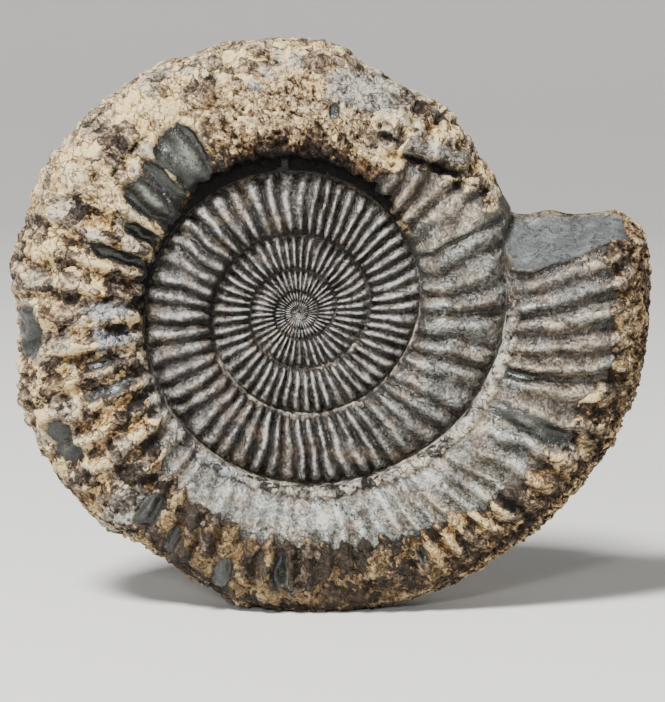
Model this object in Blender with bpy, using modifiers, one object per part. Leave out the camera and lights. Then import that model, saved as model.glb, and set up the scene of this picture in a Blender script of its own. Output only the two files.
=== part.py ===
"""Dactylioceras commune, a coiled and ribbed fossil 90 mm across, standing on a small flat spot on its edge.

The coil lies in the XZ plane and its axis runs along Y. Half of it is a spiral strip, from the first chamber
to the broken end, and the strip's outer edge on one turn is its inner edge on the next. A band carries the
last turn's outer edge round to the middle plane, and a mirror makes the other half. The end broke off along
two slopes that meet in a ridge over the middle plane.

Angles are in degrees, counterclockwise from +X as seen from the front (-Y). A turn is counted from the
corner where the broken end meets the whorl inside it.
"""

import bmesh
import bpy
import numpy as np
from mathutils import Vector, noise

# Size and place, in metres
COIL_CENTRE = Vector((-0.0048, 0.0, 0.0424))
OVERALL_WIDTH = 0.090

# The coil's turns, and the radii at the corner where the last whorl begins
TURNS = 7
CORNER_ANGLE = 26.5
LAST_WHORL = TURNS - 1
CORNER_SEAM = 0.0182
CORNER_OUTLINE = 0.0336

# The seam between each whorl and the next, as turn, angle and radius in metres
SEAM_KNOTS = (
    (0, 26.5, 0.0), (0, 30, 0.0003), (0, 60, 0.0007), (0, 205, 0.0011),
    (1, 26.5, 0.0015), (1, 205, 0.0021),
    (2, 26.5, 0.0029), (2, 180, 0.0034), (2, 300, 0.0039), (2, 350, 0.0048),
    (3, 26.5, 0.0057), (3, 150, 0.0067), (3, 270, 0.0078), (3, 350, 0.0095),
    (4, 26.5, 0.0107), (4, 100, 0.0114), (4, 180, 0.0123), (4, 260, 0.0139), (4, 330, 0.0155),
    (5, 26.5, CORNER_SEAM), (5, 70, 0.0197), (5, 110, 0.0206), (5, 150, 0.0213), (5, 190, 0.0219),
    (5, 240, 0.0231), (5, 270, 0.0239), (5, 300, 0.0251), (5, 330, 0.0272), (5, 362, 0.0292),
    (5, 375, 0.0300),
)

# The last whorl's outline, as angle and radius in metres
OUTLINE_KNOTS = (
    (26.5, CORNER_OUTLINE), (40, 0.0334), (50, 0.0349), (70, 0.0352), (75, 0.0359), (80, 0.0375), (90, 0.0384),
    (110, 0.0391), (120, 0.0399), (140, 0.0405), (150, 0.0410), (160, 0.0406), (168, 0.0409), (175, 0.0403),
    (183, 0.0397), (190, 0.0402), (198, 0.0413), (212, 0.0411), (225, 0.0410), (235, 0.0398), (245, 0.0404),
    (255, 0.0419), (262, 0.0427), (270, 0.0433), (280, 0.0433), (290, 0.0438), (300, 0.0445), (310, 0.0450),
    (320, 0.0460), (330, 0.0471), (340, 0.0485), (348, 0.0492), (360, 0.0494), (370, 0.0501), (386.5, 0.0504),
)

# Half the thickness of the whorl at its fattest, by turn, in metres
HALF_BREADTH_KNOTS = (
    (0, 0.0004), (1, 0.0007), (2, 0.0010), (3, 0.0017), (4, 0.0028), (5, 0.0045), (6, 0.0073), (7, 0.0098),
)

# The whorl's section: shares of the way from the inner seam to the outer one, and powers of its curves
FATTEST_AT = 0.45
FREE_EDGE_AT = 1.073
OUTER_POWER = 2.6
WALL_POWER = 3.0
WALL_ROUNDING = 0.5
FIRST_CHAMBER_TURNS = 0.15

# The broken end's slopes, by distance from the coil's centre along X: the height of the ridge where they meet,
# in metres over the centre, and how steeply they fall from it
END_RIDGE_KNOTS = (
    (0.0280, 0.0145), (0.0325, 0.0141), (0.0357, 0.0147), (0.0395, 0.0140), (0.0440, 0.0145), (0.0470, 0.0133),
    (0.0495, 0.0112),
)
END_SLOPE_KNOTS = ((0.030, 0.9), (0.036, 0.72), (0.041, 0.48), (0.046, 0.4))

# The last degrees before the corner: where sections are cut by the slopes, where their rows have become even,
# and where the flank starts to close to a point
CUT_DEGREES = 32.0
EVEN_DEGREES = 19.0
CLOSING_DEGREES = 14.5
CUT_STEPS = 240

# Ribs: number of ribs counted from the corner, at a turn and an angle
RIB_COUNT_KNOTS = (
    (0, 26.5, 0), (1, 26.5, 24), (2, 26.5, 58), (2, 386.5, 97), (3, 121, 108), (3, 236, 121), (3, 385, 138),
    (4, 87, 147), (4, 144, 155), (4, 233, 166), (4, 310, 177), (4, 385, 188),
    (5, 66, 195), (5, 89, 199), (5, 157, 208), (5, 242, 219), (5, 316, 232), (5, 389, 241),
    (6, 70, 247), (6, 132, 255), (6, 172, 260), (6, 210, 265), (6, 237, 269), (6, 286, 279), (6, 330, 289),
    (6, 338, 290), (6, 369, 296), (6, 386.5, 299),
)
RIB_HEIGHT_KNOTS = (
    (0.5, 0.0), (1, 0.00012), (2, 0.00022), (3, 0.00036), (4, 0.0006), (5, 0.0008), (6, 0.0010), (7, 0.0011),
)
RIB_LEAN_KNOTS = (
    (0, 26.5, 0.0), (5, 60, 0.0), (5, 200, -2.0), (5, 310, 2.0), (6, 60, 1.0), (6, 240, 1.0), (6, 330, 5.0),
    (6, 386.5, 5.0),
)
RIB_SPLITS_FROM, RIB_SPLITS_BY = 0.8, 1.2

# Crust left on the last whorl: its lumps, and where it has come off in patches, as angle, radius and half
# sizes along each
CRUST_LUMP = 0.0042
CRUST_RELIEF = 0.0004
PATCH_DEPTH = 0.0006
PATCHES = (
    (126.5, 0.0281, 5.0, 0.0034), (144.0, 0.0270, 4.5, 0.0029), (184.5, 0.0392, 4.0, 0.0028),
    (232.5, 0.0353, 3.0, 0.0036),
)

# A slab of crust that stands over a crevice, from one end to the other, measured from the coil's centre
SLAB_ENDS = (Vector((0.0154, 0.0, 0.0232)), Vector((0.0224, 0.0, 0.0208)))
SLAB_WIDTH = 0.0013
SLAB_RISE = 0.0008
CREVICE_DEPTH = 0.0009

# Fineness
COLUMNS_PER_TURN = 360
STRIP_ROWS = 12
BAND_ROWS = 8
KEPT_SHARE = 0.0745
WELD = 1e-6
SLOPE_STEP = 1e-3


def smooth_curve(knots):
    """A function through the knots that rises and falls only where they do."""
    places, values = np.array(knots, float).T
    steps = np.diff(places)
    slopes = np.diff(values) / steps
    before, after = slopes[:-1], slopes[1:]
    turning = before * after <= 0
    middle = np.where(turning, 0.0, 2 * before * after / np.where(turning, 1.0, before + after))
    tangents = np.concatenate([slopes[:1], middle, slopes[-1:]])

    def curve(place):
        i = np.clip(np.searchsorted(places, place, side="right") - 1, 0, len(steps) - 1)
        f = np.clip((place - places[i]) / steps[i], 0.0, 1.0)
        straight = values[i] + (values[i + 1] - values[i]) * f * f * (3 - 2 * f)
        bend = f * (1 - f) * ((1 - f) * tangents[i] - f * tangents[i + 1])
        return straight + bend * steps[i]

    return curve


def by_turn(knots):
    """Knots given by turn and angle, as knots by turn alone."""
    return tuple((turn + (angle - CORNER_ANGLE) / 360, value) for turn, angle, value in knots)


def ease(value, start, end):
    f = np.clip((value - start) / (end - start), 0.0, 1.0)
    return f * f * (3 - 2 * f)


def angle_of(turn):
    """The angle along the last whorl, which is below the corner's on the turns inside it."""
    return CORNER_ANGLE + 360 * (turn - LAST_WHORL)


half_breadth = smooth_curve(HALF_BREADTH_KNOTS)
outline = smooth_curve(OUTLINE_KNOTS)
end_ridge = smooth_curve(END_RIDGE_KNOTS)
end_slope = smooth_curve(END_SLOPE_KNOTS)
rib_count = smooth_curve(by_turn(RIB_COUNT_KNOTS))
rib_height = smooth_curve(RIB_HEIGHT_KNOTS)
rib_lean = smooth_curve(by_turn(RIB_LEAN_KNOTS))


def edge_below_outline(inner, free):
    """Where the last whorl's flank ends and its outer edge begins."""
    return inner + (free - inner) / FREE_EDGE_AT


corner_edge = edge_below_outline(CORNER_SEAM, CORNER_OUTLINE)
inner_seams = smooth_curve(by_turn(SEAM_KNOTS) + ((LAST_WHORL, corner_edge),))


def seam_radius(turn):
    """The outer limit of the flank, which is the next whorl's seam or, on the last whorl, its outer edge."""
    inner = inner_seams(turn - 1) * (turn >= 1)
    last = edge_below_outline(inner, outline(angle_of(turn)))
    return np.where(turn >= LAST_WHORL, last, inner_seams(turn))


def outer_fall(across):
    """The share of its half breadth that the whorl keeps between its fattest place and its outer edge."""
    out = np.clip((across - FATTEST_AT) / (FREE_EDGE_AT - FATTEST_AT), 0.0, 1.0)
    return (1 - out**OUTER_POWER) ** (1 / OUTER_POWER)


def seam_height(turn):
    return half_breadth(turn) * outer_fall(1.0)


def flank_height(turn, across):
    """The half thickness of the whorl at a share of the way from its inner seam to its outer one."""
    low = seam_height(np.maximum(turn - 1, 0))
    outer = seam_height(turn)
    least = np.maximum(low, outer)
    full = least + (half_breadth(turn) - least) * ease(turn, 0.0, FIRST_CHAMBER_TURNS)
    inward = np.clip((FATTEST_AT - across) / FATTEST_AT, 0.0, 1.0)
    wall = low + (full - low) * (1 - inward**WALL_POWER) ** WALL_ROUNDING
    kept = (outer_fall(across) - outer_fall(1.0)) / (1 - outer_fall(1.0))
    return np.where(across < FATTEST_AT, wall, outer + (full - outer) * kept)


def whole_section(turn, across):
    """Radius and half thickness of the coil before its end broke off: across runs over the flank from the
    inner seam (0) to the outer one (1) and, on the last whorl, round the outer edge to the middle plane (2)."""
    inner = inner_seams(turn - 1) * (turn >= 1)
    edge = seam_radius(turn)
    radius = inner + (edge - inner) * np.minimum(across, 1.0)
    height = flank_height(turn, np.minimum(across, 1.0))

    round_edge = np.clip(2 - across, 0.0, 1.0)
    start = np.arcsin(outer_fall(1.0) ** (OUTER_POWER / 2))
    edge_height = height * (np.sin(start * round_edge) / np.sin(start)) ** (2 / OUTER_POWER)
    fattest = inner + FATTEST_AT * (edge - inner)
    share = np.clip(edge_height / half_breadth(turn), 0.0, 1.0)
    free = fattest + (outline(angle_of(turn)) - fattest) * (1 - share**OUTER_POWER) ** (1 / OUTER_POWER)
    over_edge = across > 1
    return np.where(over_edge, free, radius), np.where(over_edge, edge_height, height)


def run_along(radius, height):
    """How far along a section each of its points lies, from 0 to 1."""
    run = np.concatenate([[0.0], np.cumsum(np.hypot(np.diff(radius), np.diff(height)))])
    return run / run[-1]


def broken_section(turn, across):
    """Radius and half thickness of one turn near the broken end, whose slopes cut the whorl down to the edge
    of the whorl inside it. Also the share across that the whole whorl had at each point, and how much of the
    point lies on a slope."""
    angle = np.radians(angle_of(turn))
    cosine, sine = np.cos(angle), np.sin(angle)
    steps = np.linspace(0.0, 2.0, CUT_STEPS)
    whole_radius, whole_height = whole_section(np.full(CUT_STEPS, turn), steps)
    inner, edge = inner_seams(turn - 2), inner_seams(turn - 1)
    fattest, free = inner + FATTEST_AT * (edge - inner), inner + FREE_EDGE_AT * (edge - inner)

    tried = np.linspace(edge, whole_radius[-1], CUT_STEPS)
    beyond = np.maximum.accumulate(tried * sine - end_ridge(tried * cosine))
    reach = max(np.interp(0.0, beyond, tried), free)
    radius = edge + (reach - edge) * np.sin(np.linspace(0.0, np.pi / 2, CUT_STEPS))
    whole = np.interp(radius, whole_radius, whole_height)
    slope = (end_ridge(radius * cosine) - radius * sine) / end_slope(radius * cosine)
    within = np.clip((radius - fattest) / (free - fattest), 0.0, 1.0)
    inside = half_breadth(turn - 1) * (1 - within**OUTER_POWER) ** (1 / OUTER_POWER)
    height = np.maximum(np.minimum(whole, slope), inside)
    height[0], height[-1] = whole_height[0], 0.0
    sloping = (slope < whole) & (height > inside)

    whole_run = run_along(whole_radius, whole_height)
    to_corner = 360 * (TURNS - turn)
    flank_share = np.interp(1.0, steps, whole_run) * ease(to_corner, 0.0, CLOSING_DEGREES)
    even = np.where(across <= 1, flank_share * across, flank_share + (1 - flank_share) * (across - 1))
    unevenly = ease(to_corner, EVEN_DEGREES, CUT_DEGREES)
    place = unevenly * np.interp(across, steps, whole_run) + (1 - unevenly) * even
    shares = np.interp(radius, whole_radius, steps)
    return [np.interp(place, run_along(radius, height), part) for part in (radius, height, shares, sloping)]


def section_point(turn, across):
    """Radius and half thickness of the smooth coil, the share across to pattern it by, and how much of each
    point lies on the broken end."""
    at_corner = turn >= TURNS
    radius, height = whole_section(turn, np.where(at_corner, 0.0, across))
    pattern, broken = across.copy(), np.zeros_like(radius)
    near_end = (360 * (TURNS - turn) < CUT_DEGREES) & ~at_corner
    for one in np.unique(turn[near_end]):
        here = turn == one
        radius[here], height[here], pattern[here], broken[here] = broken_section(one, across[here])
    return radius, height, pattern, broken


def ribs(turn, across):
    """Height of the ribs, which split in two on their way over the outer edge."""
    leaning = turn - rib_lean(turn) * (across - 0.4) / 360
    count = rib_count(leaning)
    whole = 0.5 + 0.5 * np.cos(2 * np.pi * count)
    split = 0.5 + 0.5 * np.cos(2 * np.pi * (2 * count - 0.5))
    splitting = ease(across, RIB_SPLITS_FROM, RIB_SPLITS_BY)
    strength = ease(across, 0.0, 0.1) * (1 - 0.5 * splitting)
    return rib_height(turn) * strength * (whole + (split - whole) * splitting - 0.5)


def patches(angle, radius):
    depth = np.zeros_like(radius)
    for at_angle, at_radius, half_angle, half_radius in PATCHES:
        away = np.hypot((angle - at_angle) / half_angle, (radius - at_radius) / half_radius)
        depth = np.maximum(depth, 1 - ease(away, 0.75, 1.0))
    return -PATCH_DEPTH * depth


def slab(x, z):
    """A raised bar with a crevice along its inner side."""
    start, end = SLAB_ENDS
    along = (end - start).normalized()
    outward = Vector((-along.z, 0.0, along.x))
    run = (x - start.x) * along.x + (z - start.z) * along.z
    off = (x - start.x) * outward.x + (z - start.z) * outward.z
    length = (end - start).length
    inside = ease(run, -SLAB_WIDTH, 0.0) * (1 - ease(run, length, length + SLAB_WIDTH))
    raised = ease(off, -0.2 * SLAB_WIDTH, 0.2 * SLAB_WIDTH) * (1 - ease(off, SLAB_WIDTH, 2 * SLAB_WIDTH))
    sunk = ease(off, -1.2 * SLAB_WIDTH, -0.6 * SLAB_WIDTH) * (1 - ease(off, -0.4 * SLAB_WIDTH, 0.0))
    return inside * (SLAB_RISE * raised - CREVICE_DEPTH * sunk)


def crust(turn, across, radius, height):
    """Lumps, patches and the slab, all on the last whorl."""
    angle = angle_of(turn)
    x = radius * np.cos(np.radians(angle))
    z = radius * np.sin(np.radians(angle))
    places = np.stack([x, -height, z], axis=1) / CRUST_LUMP
    lumps = np.array([noise.fractal(place, 0.9, 2.0, 3) for place in places])
    strength = 0.35 + 0.65 * ease(across, 0.3, 1.0)
    return (CRUST_RELIEF * lumps * strength + patches(angle, radius) + slab(x, z)) * (turn >= LAST_WHORL)


def coil_points(turn, across):
    """Places of the front half's points, with ribs and crust raised square to the smooth section."""
    radius, height, pattern, broken = section_point(turn, across)
    ahead = section_point(turn, np.minimum(across + SLOPE_STEP, 2.0))
    behind = section_point(turn, np.maximum(across - SLOPE_STEP, 0.0))
    out, up = behind[1] - ahead[1], ahead[0] - behind[0]
    length = np.maximum(np.hypot(out, up), 1e-12)

    free = ease(turn, LAST_WHORL, LAST_WHORL + 0.03) * (1 - ease(turn, TURNS - 0.01, TURNS))
    at_seam = 1 - ease(pattern, 0.9, 1.0) * (1 - free)
    relief = ribs(turn, pattern) + crust(turn, pattern, radius, height) * ease(pattern, 0.0, 0.1)
    relief *= (1 - broken) * at_seam * ease(turn, 0.0, 0.5)
    relief *= np.where(turn >= LAST_WHORL, free, 1.0)
    radius = radius + relief * out / length
    height = height + relief * up / length

    angle = np.radians(angle_of(turn))
    height = np.where(across >= 2, 0.0, height)
    return np.stack([radius * np.cos(angle), -height, radius * np.sin(angle)], axis=1)


def add_strip(mesh, columns, rows, place):
    """Adds a grid whose points are moved by place, which takes their shares of its length and width."""
    grid = bmesh.new()
    bmesh.ops.create_grid(grid, x_segments=columns, y_segments=rows, size=1.0)
    shares = np.array([vert.co[:2] for vert in grid.verts]) * 0.5 + 0.5
    along = np.round(shares[:, 0] * columns) / columns
    over = np.round(shares[:, 1] * rows) / rows
    for vert, point in zip(grid.verts, place(along, over)):
        vert.co = point
    piece = bpy.data.meshes.new("strip")
    grid.to_mesh(piece)
    grid.free()
    mesh.from_mesh(piece)
    bpy.data.meshes.remove(piece)


def flank_place(along, over):
    return coil_points(along * TURNS, over)


def band_place(along, over):
    turn = LAST_WHORL + np.where(along >= 1, 0.0, along)
    return coil_points(turn, 1 + over)


def coil_mesh():
    half = bmesh.new()
    add_strip(half, TURNS * COLUMNS_PER_TURN, STRIP_ROWS, flank_place)
    add_strip(half, COLUMNS_PER_TURN, BAND_ROWS, band_place)
    bmesh.ops.remove_doubles(half, verts=half.verts, dist=WELD)
    bmesh.ops.dissolve_degenerate(half, edges=half.edges, dist=WELD)
    bmesh.ops.recalc_face_normals(half, faces=half.faces)
    mesh = bpy.data.meshes.new("ammonite")
    half.to_mesh(mesh)
    half.free()
    mesh.shade_smooth()
    return mesh


def stone_material():
    material = bpy.data.materials.new("brown stone")
    material.use_nodes = True
    surface = material.node_tree.nodes["Principled BSDF"]
    surface.inputs["Base Color"].default_value = (0.20, 0.16, 0.11, 1.0)
    surface.inputs["Roughness"].default_value = 0.5
    surface.inputs["Metallic"].default_value = 0.0
    return material


def floor_cutter(collection):
    """A block under the resting plane, which cuts the flat spot."""
    cube = bmesh.new()
    bmesh.ops.create_cube(cube, size=2 * OVERALL_WIDTH)
    bmesh.ops.translate(cube, verts=cube.verts, vec=(0.0, 0.0, -OVERALL_WIDTH))
    mesh = bpy.data.meshes.new("flat spot cutter")
    cube.to_mesh(mesh)
    cube.free()
    block = bpy.data.objects.new("flat spot cutter", mesh)
    block.hide_render = True
    block.display_type = "WIRE"
    collection.objects.link(block)
    return block


def ammonite(collection, cutter):
    body = bpy.data.objects.new("ammonite", coil_mesh())
    body.location = COIL_CENTRE
    body.data.materials.append(stone_material())
    collection.objects.link(body)

    mirror = body.modifiers.new("other half", "MIRROR")
    mirror.use_axis = (False, True, False)
    mirror.merge_threshold = 0.00001

    thinning = body.modifiers.new("thinning", "DECIMATE")
    thinning.ratio = KEPT_SHARE

    flat = body.modifiers.new("flat spot", "BOOLEAN")
    flat.operation = "DIFFERENCE"
    flat.object = cutter
    return body


def clear_scene():
    for old in list(bpy.data.objects):
        bpy.data.objects.remove(old, do_unlink=True)


def main():
    clear_scene()
    fossil = bpy.data.collections.new("Dactylioceras commune ammonite")
    cutters = bpy.data.collections.new("cutters")
    for collection in (fossil, cutters):
        bpy.context.scene.collection.children.link(collection)
    ammonite(fossil, floor_cutter(cutters))


main()
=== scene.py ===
"""The looks of a Dactylioceras commune fossil: a fine ribbed coil with its crust, and the studio around it.

Two closed bodies lie in each other. The mould is the smooth ribbed stone, and the crust is what still covers
it: it stands over the mould where it is left, and runs just inside it where it has come off.

Lengths are in metres and angles in degrees, counterclockwise from +X as seen from the front (-Y). A turn is
counted along the coil from the corner where the broken end meets the whorl inside it. Across runs over one
whorl's flank, from its inner seam (0) to its outer one (1) and, on the last whorl, on round the outer edge
to the middle plane (2).
"""

import itertools
import math
from types import SimpleNamespace

import bpy
import numpy as np
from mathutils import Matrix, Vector


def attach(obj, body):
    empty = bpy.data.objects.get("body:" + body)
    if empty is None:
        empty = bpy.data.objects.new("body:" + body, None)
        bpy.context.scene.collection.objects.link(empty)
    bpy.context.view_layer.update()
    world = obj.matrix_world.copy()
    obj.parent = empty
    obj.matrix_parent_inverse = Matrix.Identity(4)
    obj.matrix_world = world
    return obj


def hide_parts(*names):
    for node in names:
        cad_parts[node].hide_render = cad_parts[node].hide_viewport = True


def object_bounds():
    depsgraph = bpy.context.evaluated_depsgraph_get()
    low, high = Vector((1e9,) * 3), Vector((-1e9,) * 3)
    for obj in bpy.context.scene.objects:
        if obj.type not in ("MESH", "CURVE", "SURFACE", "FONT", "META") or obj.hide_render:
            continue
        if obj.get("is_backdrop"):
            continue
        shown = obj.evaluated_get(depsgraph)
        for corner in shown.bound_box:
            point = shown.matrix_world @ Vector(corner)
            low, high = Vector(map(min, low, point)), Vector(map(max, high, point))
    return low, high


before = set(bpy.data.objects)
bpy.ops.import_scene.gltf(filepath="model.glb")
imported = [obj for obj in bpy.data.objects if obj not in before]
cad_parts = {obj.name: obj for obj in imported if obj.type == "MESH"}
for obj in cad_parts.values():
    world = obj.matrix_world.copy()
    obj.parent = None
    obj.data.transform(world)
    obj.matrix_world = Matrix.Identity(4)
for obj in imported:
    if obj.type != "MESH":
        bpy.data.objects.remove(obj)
cad_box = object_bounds()


def smooth_curve(*knots):
    """A function through knots of place and value that rises and falls only where they do."""
    places, values = np.array(knots, float).T
    steps = np.diff(places)
    slopes = np.diff(values) / steps
    before, after = slopes[:-1], slopes[1:]
    turning = before * after <= 0
    middle = np.where(turning, 0.0, 2 * before * after / np.where(turning, 1.0, before + after))
    tangents = np.concatenate([slopes[:1], middle, slopes[-1:]])

    def curve(place):
        i = np.clip(np.searchsorted(places, place, side="right") - 1, 0, len(steps) - 1)
        f = np.clip((place - places[i]) / steps[i], 0.0, 1.0)
        straight = values[i] + (values[i + 1] - values[i]) * f * f * (3 - 2 * f)
        bend = f * (1 - f) * ((1 - f) * tangents[i] - f * tangents[i + 1])
        return straight + bend * steps[i]

    return curve


def curve_by_turn(*knots):
    """The same for knots of turn, angle and value, as a function of the turn alone."""
    return smooth_curve(*[(turn + (angle - CORNER_ANGLE) / 360, value) for turn, angle, value in knots])


# The coil's place and turns
COIL_CENTRE = Vector((-0.0048, 0.0, 0.0424))
TURNS = 7
CORNER_ANGLE = 26.5
LAST_WHORL = TURNS - 1
CORNER_SEAM = 0.0182
CORNER_OUTLINE = 0.0336

# The whorl's section: shares of the way from the inner seam to the outer one, and powers of its curves
FATTEST_AT = 0.45
FREE_EDGE_AT = 1.073
OUTER_POWER = 2.6
WALL_POWER = 3.0
WALL_ROUNDING = 0.5
FIRST_CHAMBER_TURNS = 0.15

# The corner's place on the last whorl, where its flank ends and its outer edge begins
CORNER_EDGE = CORNER_SEAM + (CORNER_OUTLINE - CORNER_SEAM) / FREE_EDGE_AT

# The seam between each whorl and the next, as turn, angle and radius
inner_seams = curve_by_turn(
    (0, 26.5, 0.0), (0, 30, 0.0003), (0, 60, 0.0007), (0, 205, 0.0011),
    (1, 26.5, 0.0015), (1, 205, 0.0021),
    (2, 26.5, 0.0029), (2, 180, 0.0034), (2, 300, 0.0039), (2, 350, 0.0048),
    (3, 26.5, 0.0057), (3, 150, 0.0067), (3, 270, 0.0078), (3, 350, 0.0095),
    (4, 26.5, 0.0107), (4, 100, 0.0114), (4, 180, 0.0123), (4, 260, 0.0139), (4, 330, 0.0155),
    (5, 26.5, CORNER_SEAM), (5, 70, 0.0197), (5, 110, 0.0206), (5, 150, 0.0213), (5, 190, 0.0219),
    (5, 240, 0.0231), (5, 270, 0.0239), (5, 300, 0.0251), (5, 330, 0.0272), (5, 362, 0.0292),
    (5, 375, 0.0300), (LAST_WHORL, CORNER_ANGLE, CORNER_EDGE),
)

# The last whorl's outline, as angle and radius
outline = smooth_curve(
    (26.5, CORNER_OUTLINE), (40, 0.0334), (50, 0.0349), (70, 0.0352), (75, 0.0359), (80, 0.0375),
    (90, 0.0384), (110, 0.0391), (120, 0.0399), (140, 0.0405), (150, 0.0410), (160, 0.0406),
    (168, 0.0409), (175, 0.0403), (183, 0.0397), (190, 0.0402), (198, 0.0413), (212, 0.0411),
    (225, 0.0410), (235, 0.0398), (245, 0.0404), (255, 0.0419), (262, 0.0427), (270, 0.0433),
    (280, 0.0433), (290, 0.0438), (300, 0.0445), (310, 0.0450), (320, 0.0460), (330, 0.0471),
    (340, 0.0485), (348, 0.0492), (360, 0.0494), (370, 0.0501), (386.5, 0.0504),
)

# Half the thickness of the whorl at its fattest, by turn
half_breadth = smooth_curve(
    (0, 0.0004), (1, 0.0007), (2, 0.0010), (3, 0.0017), (4, 0.0028), (5, 0.0045), (6, 0.0073), (7, 0.0098),
)

# The broken end's slopes, by distance from the coil's centre along X: the height of the ridge where they
# meet, in metres over the centre, and how steeply they fall from it
end_ridge = smooth_curve(
    (0.0280, 0.0145), (0.0325, 0.0141), (0.0357, 0.0147), (0.0395, 0.0140), (0.0440, 0.0145),
    (0.0470, 0.0133), (0.0495, 0.0112),
)
end_slope = smooth_curve((0.030, 0.9), (0.036, 0.72), (0.041, 0.48), (0.046, 0.4))

# The last degrees before the corner: where sections are cut by the slopes, where their rows have become even,
# and where the flank starts to close to a point
CUT_DEGREES = 32.0
EVEN_DEGREES = 19.0
CLOSING_DEGREES = 14.5
CUT_STEPS = 240

# Ribs: how many there are up to a turn and an angle, their height, how far they lean in degrees, and how
# sharp they are
rib_count = curve_by_turn(
    (0, 26.5, 0), (1, 26.5, 24), (2, 26.5, 58), (2, 386.5, 97), (3, 121, 108), (3, 236, 121), (3, 385, 138),
    (4, 87, 147), (4, 144, 155), (4, 233, 166), (4, 310, 177), (4, 385, 188),
    (5, 66, 195), (5, 89, 199), (5, 157, 208), (5, 242, 219), (5, 316, 232), (5, 389, 241),
    (6, 70, 247), (6, 132, 255), (6, 172, 260), (6, 210, 265), (6, 237, 269), (6, 286, 279), (6, 330, 289),
    (6, 338, 290), (6, 369, 296), (6, 386.5, 299),
)
rib_height = smooth_curve(
    (0.5, 0.0), (1, 0.00014), (2, 0.00026), (3, 0.00044), (4, 0.00072), (5, 0.0010), (6, 0.0013), (7, 0.0014),
)
rib_lean = curve_by_turn(
    (0, 26.5, 0.0), (5, 60, 0.0), (5, 200, -2.0), (5, 310, 2.0), (6, 60, 1.0), (6, 240, 1.0), (6, 330, 5.0),
    (6, 386.5, 5.0),
)
rib_sharpness = smooth_curve((0, 0.9), (4.5, 0.75), (5.5, 0.6), (6.0, 0.8), (6.2, 1.1), (7, 1.2))

# Where ribs split, as shares across, which part of their height lies below the smooth coil, how much they
# differ in height, and how much lower they are on the outer edge
RIB_SPLITS = (0.8, 1.2)
RIB_MIDDLE = 0.42
RIB_UNEVENNESS = 0.5
RIM_SMOOTHING = 0.9

# Along X, where the crust starts to cover the broken end's tip and where it covers it all
END_CRUST = (0.0455, 0.0465)

# Where ribs are faint on the last whorl, as angle, radius and half sizes along each
FAINT_RIBS = ((92, 0.03, 34, 0.012), (266, 0.0285, 40, 0.005), (318, 0.0305, 34, 0.0035))

# Where the crust begins on the last whorl, as angle and share across
crust_from = smooth_curve(
    (26.5, 0.90), (40, 0.72), (50, 0.50), (58, 0.28), (66, -0.3), (114, -0.3), (124, 0.1), (150, 0.08),
    (165, 0.03), (200, 0.03), (222, 0.2), (240, 0.42), (270, 0.45), (300, 0.52), (320, 0.66), (330, 0.71),
    (340, 0.72), (350, 0.80), (360, 0.78), (368, 0.74), (386.5, 0.82),
)

# The crust's thickness, how far it sinks where it ends, how far its border wanders, and how much lower the
# mould lies where the crust covers it
CRUST_THICKNESS = 0.00035
CRUST_SINK = 0.0003
CRUST_WANDER = 0.0010
COVERED_DEPTH = 0.00022

# Stretches of the last whorl, by the angles where each fades in and out again: split ribs that stand out at
# the rim, ribs that fade towards it, the brown bottom, the porous top, the plates beside it, the layers along
# the lower rim, the top of the umbilicus, which is sunk and given painted shade, and its wall, which is given
# painted shade
TOOTHED = (132, 150, 196, 212)
SMOOTH_EDGE = (205, 225, 300, 320)
BOTTOM = (228, 240, 285, 305)
POROUS = (62, 74, 112, 120)
PLATED = (78, 90, 150, 175)
LAYERED = (215, 235, 325, 345)
SHADED = (32, 70, 112, 155)
UPPER_WALL = (30, 42, 188, 200)

# The angles between which the rim turns rough
RIM = (270, 310)

# How light the crust is, as angle and share from dark brown to cream
crust_tone = smooth_curve(
    (26.5, 0.63), (60, 0.68), (80, 0.83), (115, 0.83), (165, 0.70), (200, 0.57), (225, 0.50), (240, 0.26),
    (290, 0.24), (315, 0.42), (350, 0.56), (386.5, 0.63),
)

# How light the bare mould of the last whorl is, as angle and share from dark to pale
mould_tone = smooth_curve(
    (26.5, 0.56), (60, 0.42), (118, 0.3), (150, 0.35), (210, 0.5), (235, 0.72), (290, 0.88), (325, 0.70),
    (345, 0.60), (386.5, 0.6),
)

# How much the bare mould is stained tan, as angle and share
stain = smooth_curve(
    (26.5, 0.65), (60, 0.5), (90, 0.2), (225, 0.1), (300, 0.15), (345, 0.6), (374, 0.5), (386.5, 0.2),
)

# Patches on the last whorl, as angle, radius and half sizes along each, as they show from the front, and how
# square they are
PATCH_POWER = 2.8
WINDOWS = (
    (126.5, 0.0272, 6.4, 0.0046), (135.8, 0.0262, 2.2, 0.0036), (143.3, 0.0264, 4.8, 0.0038),
    (153.5, 0.025, 2, 0.0022), (162.8, 0.0266, 1.9, 0.0034), (184.5, 0.0389, 5.2, 0.0017),
    (194.8, 0.0296, 1.1, 0.0018), (202.3, 0.029, 1.5, 0.0036), (209, 0.0386, 5, 0.0014),
    (233.2, 0.0356, 2.6, 0.0024), (240.8, 0.0375, 1, 0.0018), (253.5, 0.0392, 1.8, 0.0022),
    (265.8, 0.0376, 1.7, 0.0026), (297, 0.0395, 1, 0.0012), (334.2, 0.0368, 2.3, 0.0062),
    (344, 0.0331, 1.4, 0.0022), (80, 0.0287, 1.6, 0.0012),
)
OCHRE_SPOTS = (
    (53.5, 0.032, 3.2, 0.0014), (95, 0.036, 4.5, 0.0012), (107, 0.0337, 2.5, 0.0012),
    (121, 0.0363, 2, 0.0022), (180, 0.036, 1.5, 0.002), (197, 0.0362, 3, 0.0026),
    (213.5, 0.033, 3, 0.0046), (250, 0.036, 5, 0.003), (300, 0.038, 3, 0.002),
    (312, 0.0395, 5, 0.0016), (328, 0.0415, 4, 0.0016),
)
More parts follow.
